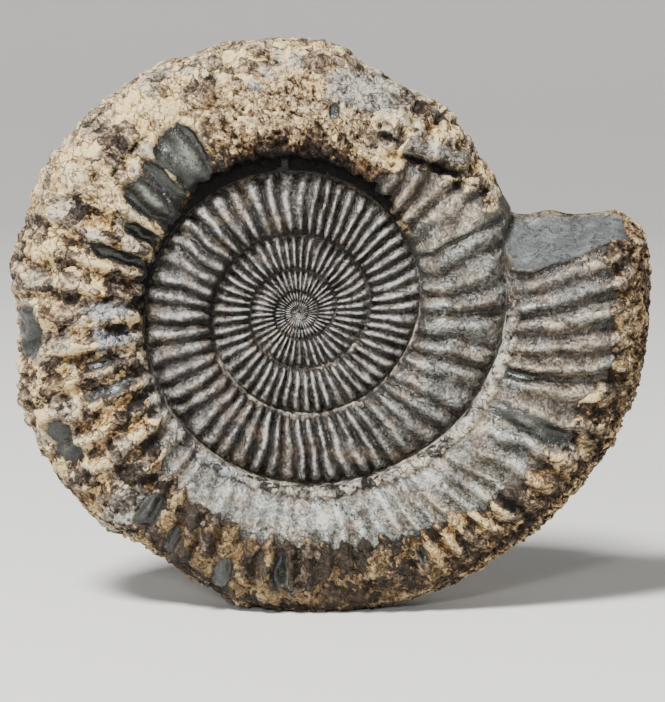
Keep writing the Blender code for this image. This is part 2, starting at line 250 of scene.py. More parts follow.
PALE_SPOTS = (
    (62, 0.0308, 2.8, 0.0009), (150, 0.0378, 3, 0.0006), (53, 0.031, 1.4, 0.0008),
    (211, 0.037, 1.6, 0.0022), (259, 0.0328, 4, 0.0006),
)
GREY_SPOTS = (
    (73, 0.0325, 11, 0.003), (83, 0.0292, 1, 0.004), (228, 0.0372, 3.6, 0.004),
    (90, 0.0352, 2, 0.0012), (101, 0.0322, 2.2, 0.001), (97.5, 0.0342, 2, 0.001),
)
BLUE_SPOTS = ((179.5, 0.027, 2.6, 0.0034), (188, 0.0266, 2.4, 0.0032), (241, 0.0262, 10, 0.0014))

# Narrow gaps in the crust, placed in the same way
GAPS = ((38.5, 0.029, 1.6, 0.0006), (62.5, 0.0278, 2.6, 0.0005), (136, 0.033, 5, 0.0003))

# A slab of crust that stands over a crevice, from one end to the other, measured from the coil's centre
SLAB_ENDS = (Vector((0.0154, 0.0, 0.0232)), Vector((0.0224, 0.0, 0.0208)))
SLAB_WIDTH = 0.0013

# Where the slab and its crevice fade in and out, in slab widths outward from the line between its ends
SLAB_PROFILE = (-0.1, 0.15, 1.0, 2.0)
CREVICE_PROFILE = (-1.4, -0.8, -0.4, 0.0)

# Raised lips, by where they fade in and out: past a window's edge, and inside the crust's border
WINDOW_LIP = (0.0001, 0.0003, 0.0006, 0.0010)
CRUST_LIP = (0.0001, 0.0003, 0.0007, 0.0011)

# Heights and depths in the crust
SLAB_RISE, CREVICE_DEPTH, GAP_DEPTH = 0.0013, 0.0012, 0.0006
VEIN_HEIGHT, PALE_HEIGHT, LIP_HEIGHT, STRATA_HEIGHT = 0.00010, 0.00018, 0.00012, 0.00022
PIT_DEPTH, FOLD_DEPTH = 0.00030, 0.00022

# Heights and depths on the mould, and how far it lies under the crust, also where that is porous
WINDOW_DEPTH, WINDOW_BULGE, WORN_DEPTH = 0.0001, 0.0004, 0.00012
BURIED_DEPTH, PORES_DEPTH = 0.00012, 0.0005

# How much deeper the flank lies in the shade at the top of the umbilicus
SHADE_DEPTH = 0.0022

# Sizes of the noise in three grades, of flakes, chips, pits and folds, and of the mould's worn places
BROAD_SIZE, MIDDLE_SIZE, FINE_SIZE = 0.0060, 0.0022, 0.0007
FLAKE_SIZE, CHIP_SIZE, PIT_SIZE, FOLD_SIZE, WORN_SIZE = 0.0034, 0.0013, 0.0011, 0.0028, 0.003

# Ledges of crust along the inner seams, as turns from and to, and share across, and how light the last
# whorl's are
LEDGES = ((6.47, 6.93, 0.10), (6.03, 6.47, 0.06), (5.5, 5.95, 0.045), (4.6, 4.85, 0.05))
LEDGE_TONE = 0.57

# The back's patches are the front's, turned by this much
BACK_TURNED = 137.0

# The half thickness from which the surface is held back, and how far it may go past that
FULL_HEIGHT, MOST_OVER = 0.0099, 0.0008

# Colours from dark to light, each with its place on a ramp: the dark shell of the inner whorls, the bare
# stone, its tan stains, the windows' clean stone and the broken end's face
SHELL_COLOURS = (
    (0.0, 0.006, 0.0045, 0.003), (0.25, 0.021, 0.017, 0.013), (0.45, 0.062, 0.054, 0.045),
    (0.65, 0.125, 0.117, 0.105), (0.9, 0.33, 0.325, 0.31),
)
BARE_COLOURS = (
    (0.0, 0.012, 0.010, 0.007), (0.25, 0.042, 0.037, 0.028), (0.45, 0.102, 0.100, 0.086),
    (0.65, 0.21, 0.215, 0.19), (0.9, 0.44, 0.45, 0.415),
)
TAN_COLOURS = (
    (0.0, 0.012, 0.007, 0.004), (0.3, 0.058, 0.036, 0.020), (0.55, 0.19, 0.135, 0.080),
    (0.85, 0.46, 0.37, 0.25),
)
WINDOW_COLOURS = ((0.25, 0.006, 0.007, 0.005), (0.6, 0.032, 0.034, 0.027), (0.95, 0.15, 0.158, 0.13))
FACE_COLOURS = ((0.2, 0.024, 0.027, 0.026), (0.5, 0.060, 0.065, 0.063), (0.8, 0.14, 0.15, 0.145))

# The same for the crust, where it is ochre, grey and bluish
CRUST_COLOURS = (
    (0.0, 0.008, 0.005, 0.003), (0.22, 0.030, 0.018, 0.010), (0.4, 0.085, 0.052, 0.029),
    (0.55, 0.19, 0.127, 0.072), (0.75, 0.37, 0.26, 0.142), (1.0, 0.72, 0.55, 0.32),
)
OCHRE_COLOURS = (
    (0.1, 0.024, 0.011, 0.005), (0.4, 0.12, 0.060, 0.021), (0.65, 0.36, 0.21, 0.075),
    (1.0, 0.76, 0.58, 0.29),
)
STONY_COLOURS = (
    (0.0, 0.010, 0.008, 0.007), (0.3, 0.042, 0.038, 0.033), (0.55, 0.125, 0.118, 0.104),
    (0.9, 0.42, 0.41, 0.37),
)
BLUE_COLOURS = ((0.1, 0.03, 0.032, 0.036), (0.9, 0.36, 0.38, 0.40))
PALE_COLOUR = (0.74, 0.64, 0.42)
BROWN_COLOUR = (0.045, 0.034, 0.023)
MOULD_CRACK_COLOUR = (0.012, 0.010, 0.008)
CRUST_CRACK_COLOUR = (0.014, 0.009, 0.006)
# The near-black of painted shade on the umbilical wall, in the crevice and in the gaps
PAINTED_SHADE_COLOUR = (0.0045, 0.0034, 0.0026)

# How high the finest grain stands, how much either surface shines, and how softly the chips' edges slope
MOULD_BUMP, CRUST_BUMP = 0.00025, 0.0006
MOULD_SPECULAR, CRUST_SPECULAR = 0.6, 0.2
CHIP_SMOOTHNESS = 0.1

# Fineness
COLUMNS_PER_TURN = 960
STRIP_ROWS = (5, 6, 8, 12, 20, 36, 56)
BAND_ROWS = 40
ROW_CROWDING = 1.2
MOST_TRIANGLES = 190_000
SLOPE_STEP = 1e-3
LEAST_LENGTH = 1e-12
FRONT, BACK = -1.0, 1.0

# The camera, at the photograph's angle
CAMERA_DISTANCE = 0.42
CAMERA_ELEVATION = 6.0
AIM = Vector((0.0, 0.0, 0.0368))
VIEW_HEIGHT = 0.1003
SENSOR_HEIGHT = 0.024


def ease(value, start, end):
    f = np.clip((value - start) / (end - start), 0.0, 1.0)
    return f * f * (3 - 2 * f)


def band(value, edges):
    """1 between the middle two of four edges, fading to 0 at the outer two."""
    fades_in, full, fading, gone = edges
    return ease(value, fades_in, full) * (1 - ease(value, fading, gone))


def angle_of(turn):
    """The angle along the last whorl, which is below the corner's on the turns inside it."""
    return CORNER_ANGLE + 360 * (turn - LAST_WHORL)


def seam_radius(turn):
    """The outer limit of the flank, which is the next whorl's seam or, on the last whorl, its outer edge."""
    inner = inner_seams(turn - 1) * (turn >= 1)
    last = inner + (outline(angle_of(turn)) - inner) / FREE_EDGE_AT
    return np.where(turn >= LAST_WHORL, last, inner_seams(turn))


def rounded(part):
    """How far out a rounded edge stands at a part of its height, or how high at a part of its way out."""
    return (1 - part**OUTER_POWER) ** (1 / OUTER_POWER)


def outer_fall(across):
    """The share of its half breadth that the whorl keeps between its fattest place and its outer edge."""
    return rounded(np.clip((across - FATTEST_AT) / (FREE_EDGE_AT - FATTEST_AT), 0.0, 1.0))


def seam_height(turn):
    return half_breadth(turn) * outer_fall(1.0)


def flank_height(turn, across):
    """The half thickness of the whorl at a share of the way from its inner seam to its outer one."""
    low = seam_height(np.maximum(turn - 1, 0))
    outer = seam_height(turn)
    least = np.maximum(low, outer)
    full = least + (half_breadth(turn) - least) * ease(turn, 0.0, FIRST_CHAMBER_TURNS)
    inward = np.clip((FATTEST_AT - across) / FATTEST_AT, 0.0, 1.0)
    wall = low + (full - low) * (1 - inward**WALL_POWER) ** WALL_ROUNDING
    kept = (outer_fall(across) - outer_fall(1.0)) / (1 - outer_fall(1.0))
    return np.where(across < FATTEST_AT, wall, outer + (full - outer) * kept)


def whole_section(turn, across):
    """Radius and half thickness of the coil before its end broke off."""
    inner = inner_seams(turn - 1) * (turn >= 1)
    edge = seam_radius(turn)
    radius = inner + (edge - inner) * np.minimum(across, 1.0)
    height = flank_height(turn, np.minimum(across, 1.0))

    round_edge = np.clip(2 - across, 0.0, 1.0)
    start = np.arcsin(outer_fall(1.0) ** (OUTER_POWER / 2))
    edge_height = height * (np.sin(start * round_edge) / np.sin(start)) ** (2 / OUTER_POWER)
    fattest = inner + FATTEST_AT * (edge - inner)
    share = np.clip(edge_height / half_breadth(turn), 0.0, 1.0)
    free = fattest + (outline(angle_of(turn)) - fattest) * rounded(share)
    over_edge = across > 1
    return np.where(over_edge, free, radius), np.where(over_edge, edge_height, height)


def run_along(radius, height):
    """How far along a section each of its points lies, from 0 to 1."""
    run = np.concatenate([[0.0], np.cumsum(np.hypot(np.diff(radius), np.diff(height)))])
    return run / run[-1]


def broken_section(turn, across):
    """Radius and half thickness of one turn near the broken end, whose slopes cut the whorl down to the edge
    of the whorl inside it. Also the share across that the whole whorl had at each point, and how much of the
    point lies on a slope."""
    angle = np.radians(angle_of(turn))
    cosine, sine = np.cos(angle), np.sin(angle)
    steps = np.linspace(0.0, 2.0, CUT_STEPS)
    whole_radius, whole_height = whole_section(np.full(CUT_STEPS, turn), steps)
    inner, edge = inner_seams(turn - 2), inner_seams(turn - 1)
    fattest, free = inner + FATTEST_AT * (edge - inner), inner + FREE_EDGE_AT * (edge - inner)

    tried = np.linspace(edge, whole_radius[-1], CUT_STEPS)
    beyond = np.maximum.accumulate(tried * sine - end_ridge(tried * cosine))
    reach = max(np.interp(0.0, beyond, tried), free)
    radius = edge + (reach - edge) * np.sin(np.linspace(0.0, np.pi / 2, CUT_STEPS))
    whole = np.interp(radius, whole_radius, whole_height)
    slope = (end_ridge(radius * cosine) - radius * sine) / end_slope(radius * cosine)
    within = np.clip((radius - fattest) / (free - fattest), 0.0, 1.0)
    inside = half_breadth(turn - 1) * rounded(within)
    height = np.maximum(np.minimum(whole, slope), inside)
    height[0], height[-1] = whole_height[0], 0.0
    sloping = (slope < whole) & (height > inside)

    whole_run = run_along(whole_radius, whole_height)
    to_corner = 360 * (TURNS - turn)
    flank_share = np.interp(1.0, steps, whole_run) * ease(to_corner, 0.0, CLOSING_DEGREES)
    even = np.where(across <= 1, flank_share * across, flank_share + (1 - flank_share) * (across - 1))
    unevenly = ease(to_corner, EVEN_DEGREES, CUT_DEGREES)
    place = unevenly * np.interp(across, steps, whole_run) + (1 - unevenly) * even
    shares = np.interp(radius, whole_radius, steps)
    return [np.interp(place, run_along(radius, height), part) for part in (radius, height, shares, sloping)]


def section_point(turn, across):
    """Radius and half thickness of the smooth coil, the share across to pattern it by, and how much of each
    point lies on the broken end."""
    radius, height = whole_section(turn, across)
    pattern, broken = across.copy(), np.zeros_like(radius)
    near_end = 360 * (TURNS - turn) < CUT_DEGREES
    for one in np.unique(turn[near_end]):
        here = turn == one
        radius[here], height[here], pattern[here], broken[here] = broken_section(one, across[here])
    return radius, height, pattern, broken


def bridge(left, right):
    """Triangles between two rows of points that may differ in number."""
    triangles, a, b = [], 0, 0
    while a < len(left) - 1 or b < len(right) - 1:
        next_left = (a + 1) / max(len(left) - 1, 1)
        next_right = (b + 1) / max(len(right) - 1, 1)
        if b == len(right) - 1 or (a < len(left) - 1 and next_left <= next_right):
            triangles.append((left[a], left[a + 1], right[b]))
            a += 1
        else:
            triangles.append((left[a], right[b + 1], right[b]))
            b += 1
    return triangles


def grid_triangles(ids):
    """Triangles of a grid of point numbers, given as columns of rows."""
    a, b = ids[:-1, :-1].ravel(), ids[:-1, 1:].ravel()
    c, d = ids[1:, 1:].ravel(), ids[1:, :-1].ravel()
    return np.concatenate([np.stack([a, b, c], 1), np.stack([a, c, d], 1)])


def coil_sheet():
    """The turn and share across of each point of one side, and the triangles that join them."""
    per_turn, last = COLUMNS_PER_TURN, TURNS * COLUMNS_PER_TURN
    turn, across = [np.zeros(1)], [np.zeros(1)]
    columns, count = [np.zeros(1, int)], 1
    for column in range(1, last):
        rows = STRIP_ROWS[(column - 1) // per_turn]
        inner = columns[column - per_turn][-1] if column > per_turn else 0
        ids = np.concatenate([[inner], np.arange(count, count + rows)])
        columns.append(ids)
        turn.append(np.full(rows, column / per_turn))
        across.append((np.arange(1, rows + 1) / rows) ** ROW_CROWDING)
        count += rows
    columns.append(columns[last - per_turn][-1:])

    triangles = []
    for whorl in range(TURNS):
        first, end = whorl * per_turn, (whorl + 1) * per_turn
        triangles.append(bridge(columns[first], columns[first + 1]))
        full_end = end - 1 if end == last else end
        triangles.append(grid_triangles(np.stack(columns[first + 1 : full_end + 1])))
    triangles.append(bridge(columns[last - 1], columns[last]))

    edge = np.array([ids[-1] for ids in columns[last - per_turn : last]])
    band = count + np.arange(per_turn * BAND_ROWS).reshape(per_turn, BAND_ROWS)
    ring = np.concatenate([edge[:, None], band], axis=1)
    triangles.append(grid_triangles(np.concatenate([ring, ring[:1]])))
    turn.append(np.repeat(LAST_WHORL + np.arange(per_turn) / per_turn, BAND_ROWS))
    across.append(np.tile(1 + np.arange(1, BAND_ROWS + 1) / BAND_ROWS, per_turn))

    triangles = np.concatenate([np.array(some) for some in triangles])
    a, b, c = triangles.T
    whole = (a != b) & (b != c) & (a != c)
    return np.concatenate(turn), np.concatenate(across), triangles[whole]


def scatter(cell, seed):
    """A number from 0 to 1 for each cell of whole coordinates, the same on each run."""
    mixed = cell[..., 0] * 374761393 + cell[..., 1] * 668265263 + cell[..., 2] * 974711 + seed * 144665
    mixed = (mixed ^ (mixed >> 13)) & 0x7FFFFFFF
    mixed = (mixed * 1274126177) & 0x7FFFFFFF
    return ((mixed ^ (mixed >> 16)) & 0xFFFF) / 0xFFFF


def lumps(places, size, octaves=2, seed=0):
    """Soft lumps about the given size, mostly from -1 to 1."""
    total, strength, most = 0.0, 1.0, 0.0
    for octave in range(octaves):
        scaled = places * (2**octave / size)
        base = np.floor(scaled).astype(np.int64)
        part = scaled - base
        fade = part**3 * (part * (part * 6 - 15) + 10)
        for corner in itertools.product((0, 1), repeat=3):
            cell = base + corner
            pull = sum(
                (scatter(cell, 7 * seed + 31 * octave + axis) - 0.5) * (part[:, axis] - corner[axis])
                for axis in range(3)
            )
            total = total + strength * pull * np.prod(np.where(corner, fade, 1 - fade), axis=1)
        most += strength
        strength *= 0.55
    return 4.5 * total / most


def cells(places, size, seed=0):
    """Cells scattered about size apart: how much further than the nearest middle the next one is, as a share
    of size, a number from 0 to 1 for each cell, and how high its tilted top stands over its middle."""
    scaled = places / size
    base = np.floor(scaled).astype(np.int64)
    near, second = np.full(len(places), 9.0), np.full(len(places), 9.0)
    kind, away = np.zeros(len(places)), np.zeros((len(places), 3))
    for offset in itertools.product((-1, 0, 1), repeat=3):
        cell = base + offset
        step = cell + np.stack([scatter(cell, seed + axis) for axis in range(3)], axis=1) - scaled
        way = np.linalg.norm(step, axis=1)
        closer = way < near
        second = np.where(closer, near, np.minimum(second, way))
        kind = np.where(closer, scatter(cell, seed + 3), kind)
        away = np.where(closer[:, None], step, away)
        near = np.where(closer, way, near)
    tilt = np.stack([np.sin(40 * kind), np.sin(71 * kind), np.sin(113 * kind)], axis=1)
    return second - near, kind, size * np.sum(tilt * away, axis=1)


def spots(shapes, angle, radius, ragged=0.0):
    """How far inside the nearest of the given patches each point lies, in metres, with its edge moved out by
    the ragged values."""
    inside = np.full_like(radius, -1.0)
    for at_angle, at_radius, half_angle, half_radius in shapes:
        along = np.abs(angle - at_angle) / half_angle
        over = np.abs(radius - at_radius) / half_radius
        away = (along**PATCH_POWER + over**PATCH_POWER) ** (1 / PATCH_POWER)
        inside = np.maximum(inside, (1 - away) * min(half_radius, math.radians(half_angle) * at_radius))
    return inside + ragged


def patch(p, shapes, soft, ragged=0.0):
    """1 inside the given patches of the last whorl, fading between two distances inside their edge."""
    return ease(spots(shapes, p.angle, p.seen, ragged), *soft) * p.last


def slab(x, z):
    """A raised bar, and a crevice along its inner side."""
    start, end = SLAB_ENDS
    along = (end - start).normalized()
    outward = Vector((-along.z, 0.0, along.x))
    run = (x - start.x) * along.x + (z - start.z) * along.z
    off = ((x - start.x) * outward.x + (z - start.z) * outward.z) / SLAB_WIDTH
    length = (end - start).length
    inside = band(run, (-SLAB_WIDTH, 0.0, length, length + SLAB_WIDTH))
    return inside * band(off, SLAB_PROFILE), inside * band(off, CREVICE_PROFILE)


def seen_place(x, height, z, across, side):
    """Angle and radius at which points show from the front or, turned, the same for the back."""
    tilt = math.radians(CAMERA_ELEVATION)
    nearer = CAMERA_DISTANCE / (CAMERA_DISTANCE - height * math.cos(tilt))
    off = COIL_CENTRE - AIM
    out = (x + off.x) * nearer - off.x
    up = ((z + off.z) * math.cos(tilt) - height * math.sin(tilt)) * nearer - off.z * math.cos(tilt)
    angle = (np.degrees(np.arctan2(up, out)) - CORNER_ANGLE) % 360 + CORNER_ANGLE
    radius = np.hypot(out, up)
    if side == FRONT:
        return angle, radius
    turned_by = BACK_TURNED * (1 - ease(across, 1.1, 2.0))
    turned = (angle - CORNER_ANGLE + turned_by) % 360 + CORNER_ANGLE
    return turned, radius * outline(turned) / outline(angle)


def side_points(turn, across, side):
    """One side's points on the smooth coil, the way outward from each, and the noise that patterns share."""
    p = SimpleNamespace(turn=turn, across=across, side=side)
    p.radius, p.height, p.pattern, p.broken = section_point(turn, across)
    ahead = section_point(turn, np.minimum(across + SLOPE_STEP, 2.0))
    behind = section_point(turn, np.maximum(across - SLOPE_STEP, 0.0))
    out, up = behind[1] - ahead[1], ahead[0] - behind[0]
    length = np.maximum(np.hypot(out, up), LEAST_LENGTH)
    p.out, p.up = out / length, up / length

    p.flat = np.radians(angle_of(turn))
    p.x, p.z = p.radius * np.cos(p.flat), p.radius * np.sin(p.flat)
    p.places = np.stack([p.x, side * p.height, p.z], axis=1)
    p.angle, p.seen = seen_place(p.x, p.height, p.z, p.pattern, side)
    p.last = (turn >= LAST_WHORL).astype(float)
    p.width = seam_radius(turn) - inner_seams(turn - 1) * (turn >= 1)

    p.broad = lumps(p.places, BROAD_SIZE, 2, seed=1)
    p.middle = lumps(p.places, MIDDLE_SIZE, 3, seed=2)
    p.fine = lumps(p.places, FINE_SIZE, 2, seed=3)
    p.ragged = 0.0004 * p.middle + 0.00025 * p.fine
    p.warped = p.places + 0.0005 * np.stack([p.middle, p.fine, -p.middle], axis=1)
    p.flake_gap, p.flake, p.flake_top = cells(p.warped, FLAKE_SIZE, seed=11)
    _, p.chip, p.chip_top = cells(p.warped, CHIP_SIZE, seed=17)
    return p


def add_ribs(p):
    """Give the points their ribs, from 0 to 1, which split in two over the outer edge, and the ribs' size."""
    wobble = 0.28 * p.broad * ease(p.turn, 1.0, 4.0)
    count = rib_count(p.turn - rib_lean(p.turn) * (p.pattern - 0.4) / 360) + wobble
    whole = (0.5 + 0.5 * np.cos(2 * np.pi * count)) ** rib_sharpness(p.turn)
    split = 0.5 + 0.5 * np.cos(2 * np.pi * (2 * count - 0.5))
    splitting = ease(p.pattern, *RIB_SPLITS)
    p.rib = whole + (split - whole) * splitting

    steady = np.stack([count * 0.8, 0 * count, p.pattern * 0.7 + p.turn], axis=1)
    uneven = 1 + RIB_UNEVENNESS * lumps(steady, 1.0, 1, seed=5)
    size = (1 - RIM_SMOOTHING * (1 - 0.4 * band(p.angle, TOOTHED) * p.last) * splitting) * uneven
    size = rib_height(p.turn) * size * ease(p.pattern, 0.0, 0.1) * (1 - p.broken)
    p.faint = patch(p, FAINT_RIBS, (-0.001, 0.003), 0.001 * p.broad)
    p.rim = ease(p.pattern + 0.1 * p.broad, 0.78, 0.98) * ease(p.angle, *RIM) * p.last
    smooth = band(p.angle, SMOOTH_EDGE) * ease(p.pattern, 0.7, 0.95) * p.last
    in_window = patch(p, WINDOWS, (-0.0005, 0.0005))
    size = size * (1 - 0.75 * p.faint) * (1 - 0.5 * p.rim)
    p.rib_size = size * (1 - 0.7 * smooth) * (1 - 0.2 * in_window)


def add_crust(p):
    """Give the points how far inside the crust and its windows they lie, and the crust they carry."""
    p.bottom = band(p.angle, BOTTOM) * p.last
    p.window = spots(WINDOWS, p.angle, p.seen, p.ragged)
    lobes = (1 + 1.3 * p.bottom * (1 + p.broad)) * (p.rib * (1 - 0.5 * p.faint) - 0.4)
    wander = CRUST_WANDER * (p.broad + p.middle + lobes) + p.ragged
    p.whorl_crust = (p.pattern - crust_from(p.angle)) * p.width + wander
    left = np.where(p.last > 0, np.minimum(p.whorl_crust, -p.window), -1.0)
    wander = 0.35 * CRUST_WANDER * (p.broad + p.middle) + 0.6 * p.ragged
    for first, final, share in LEDGES:
        ends = np.minimum(p.turn - first, final - p.turn) * 0.1 + 0.0002
        ledge = np.minimum((share - p.pattern) * p.width + wander, ends)
        left = np.where(np.floor(p.turn) == math.floor(first), np.maximum(left, ledge), left)
    bare_end = p.broken * (1 - ease(p.x, *END_CRUST))
    left = np.where(bare_end > 0.3, -1.0, left)

    bar, crevice = slab(p.x, p.z) if p.side == FRONT else (0 * p.x, 0 * p.x)
    p.slab, p.crevice = bar * p.last, crevice * p.last
    p.gap = patch(p, GAPS, (-0.0002, 0.0002), p.ragged)
    p.left = np.maximum(left, np.where(p.slab > 0.3, 0.001, -1.0))
    p.ledge = ease(0.14 - p.pattern, 0.0, 0.06) * ease(p.turn - np.floor(p.turn), 0.42, 0.5)

    outward = 1 - ease(p.seen + 0.002 * p.broad, 0.032, 0.035)
    p.porous = band(p.angle, POROUS) * ease(p.seen, 0.0205, 0.022) * outward * p.last
    p.plated = band(p.angle, PLATED) * ease(p.pattern + 0.1 * p.broad, 0.55, 0.7) * p.last
    p.layered = band(p.angle, LAYERED) * ease(p.pattern, 0.9, 1.03) * p.last
    p.layer = p.pattern * 6 + 0.35 * p.broad + 0.12 * p.middle
    p.shaded = band(p.angle, SHADED) * p.last
    p.rough = np.maximum(p.porous, p.rim)
    p.flaky = np.clip((1 - p.porous) * (1 - p.rim) * (1 - 0.5 * p.ledge), 0.0, 1.0)
    p.vein = (1 - ease(p.flake_gap, 0.05, 0.16)) * p.flaky
    p.greyed = patch(p, GREY_SPOTS, (-0.0003, 0.0007), 2 * p.ragged)


def crust_look(p):
    """The relief of the crust in metres, and how light it is, from about -1 to 1, with painted shade in its
    rib grooves, its pits and near the top of the umbilicus, and a partly painted highlight along its border.
    """
    raised = np.maximum(ease(p.broad + 0.5 * p.middle, -0.3, 0.0), p.plated)
    vein = p.vein * (2 * raised - 1)
    pit = ease(lumps(p.warped, PIT_SIZE, 2, seed=21) - 0.2 * p.broad, 0.30, 0.48) * p.rough
    lip = band(-p.window, WINDOW_LIP) * ease(p.pattern, 0.3, 0.45) * p.last
    # Painted shade on the crust near the top of the umbilicus, darkest by its seam
    painted_umbilicus_shade = p.shaded * (1 - ease(p.pattern + 0.08 * p.middle, 0.10, 0.42))
    fold = np.exp(-((lumps(p.places, FOLD_SIZE, 3, seed=31) / 0.09) ** 2)) * (1 - p.slab)

    # Rib crests are lighter and their grooves darker, and pits darker: painted shade
    rib_shows = (1 - 0.8 * p.faint) * (1 - 0.7 * p.rim) * (1 - 0.55 * p.bottom) * (1 - 0.5 * p.plated)
    light = 1.1 * (p.rib - 0.42) * rib_shows + 0.5 * p.middle + 0.25 * p.fine
    light += 0.9 * (p.flake - 0.5) * p.flaky + 0.8 * vein + 0.7 * (p.chip - 0.5) * p.rough
    light += 0.45 * lip - 1.3 * pit + 0.25 * p.porous - 0.25 * p.plated - 2.4 * painted_umbilicus_shade
    # Lighter just inside the crust's border: partly its cream broken edge, partly a painted highlight
    light += 0.3 * band(p.left, CRUST_LIP) * (1 - p.porous)
    light += 2.4 * (np.where(p.ledge * p.last > 0.5, LEDGE_TONE, crust_tone(p.angle)) - 0.5) * p.last
    light -= 0.5 * p.bottom * light
    light += (0.86 - 0.6 * light) * p.greyed
    light += (0.85 - light) * p.slab

    relief = 0.14 * p.flake_top * p.flaky + 0.32 * p.chip_top * p.rough + VEIN_HEIGHT * vein
    relief += PALE_HEIGHT * ease(light, -0.15, 0.15) + LIP_HEIGHT * lip
    relief += STRATA_HEIGHT * np.sin(2 * np.pi * p.layer) * p.layered
    relief += 0.00014 * p.middle + 0.00008 * p.fine - PIT_DEPTH * pit - FOLD_DEPTH * fold
    relief += (SLAB_RISE - relief) * p.slab
    return relief, light - 0.5 * fold


def mould_look(p):
    """The relief of the mould between its ribs, in metres, and how worn it is."""
    worn = ease(lumps(p.places, WORN_SIZE, 2, seed=9), 0.1, 0.25) * np.where(p.turn < 5.2, 0.3, 1.0)
    worn = worn * (1 - ease(p.window, -0.0004, 0.0) * p.last) * (1 - p.broken)
    worn = np.maximum(worn, p.broken * (1 - ease(p.height + 0.0008 * p.middle, 0.0006, 0.0020)))
    relief = 0.00006 * p.middle + 0.00003 * p.fine - WORN_DEPTH * worn * (0.7 + 0.6 * p.chip)
    bulge = WINDOW_BULGE * ease(p.window, 0.0, 0.0025) - WINDOW_DEPTH * ease(p.window, 0.0, 0.0003)
    relief += bulge * p.last
    end_edge = 1 - ease(p.height, 0.0005, 0.0016)
    relief += p.broken * (0.00015 * p.broad + 0.0004 * p.middle * end_edge)
    return relief, worn


def shared_relief(p):
    """What raises or sinks the mould and the crust together, in metres."""
    relief = 0.00025 * p.broad * p.last * (0.3 + 0.7 * ease(p.pattern, 0.3, 1.0))
    relief -= CREVICE_DEPTH * p.crevice + GAP_DEPTH * p.gap
    relief -= COVERED_DEPTH * p.last * ease(p.whorl_crust, -0.001, 0.001)
    shadow = ease(p.pattern, 0.0, 0.04) * (1 - ease(p.pattern + 0.03 * p.middle, 0.06, 0.15))
    return relief - SHADE_DEPTH * p.shaded * shadow


def body_points(p, mould_relief, crust_relief):
    """Places of the points on the mould and on the crust, which lie in each other and change places at the
    crust's borders."""
    free = ease(p.turn, LAST_WHORL, LAST_WHORL + 0.03) * (1 - ease(p.turn, TURNS - 0.008, TURNS))
    keeps = ease(p.pattern, 0.0, 0.05) * (1 - ease(p.pattern, 0.95, 1.0) * (1 - free))
    keeps = keeps * ease(p.turn, 0.0, 0.5) * np.where(p.turn >= LAST_WHORL, free, 1.0)
    cover = 1 - np.exp(-np.maximum(p.left, 0.0) / 0.0003)
    buried, hidden = ease(p.left, 0.0003, 0.0010), 1 - ease(p.left, -0.0010, -0.0003)
    low = -RIB_MIDDLE * p.rib_size - BURIED_DEPTH - PORES_DEPTH * p.porous
    shared = shared_relief(p)

    ribs = p.rib_size * (p.rib - RIB_MIDDLE)
    relief = ribs + mould_relief
    relief = (relief + (low - relief) * buried + shared) * keeps
    mould = p.radius + relief * p.out, p.height + relief * p.up
    relief = ribs * (1 - 0.15 * cover) + mould_relief * (1 - cover) + (CRUST_THICKNESS + crust_relief) * cover
    relief = (relief + (low - relief) * hidden + shared) * keeps
    sink = CRUST_SINK * (1 - ease(p.left, -0.0004, 0.0002) * ease(keeps, 0.0, 0.1))
    inward = sink * ease(p.pattern, 1.0, 1.3) * p.last * p.out
    crust = p.radius + relief * p.out - inward, p.height + relief * p.up - np.minimum(sink, 0.3 * p.height)

    for radius, height in (mould, crust):
        over = np.maximum(height - FULL_HEIGHT, 0.0)
        height = np.minimum(height, FULL_HEIGHT) + MOST_OVER * np.tanh(over / MOST_OVER)
        height = np.where(p.across >= 2, 0.0, np.maximum(height, 0.0))
        yield np.stack([radius * np.cos(p.flat), p.side * height, radius * np.sin(p.flat)], axis=1)


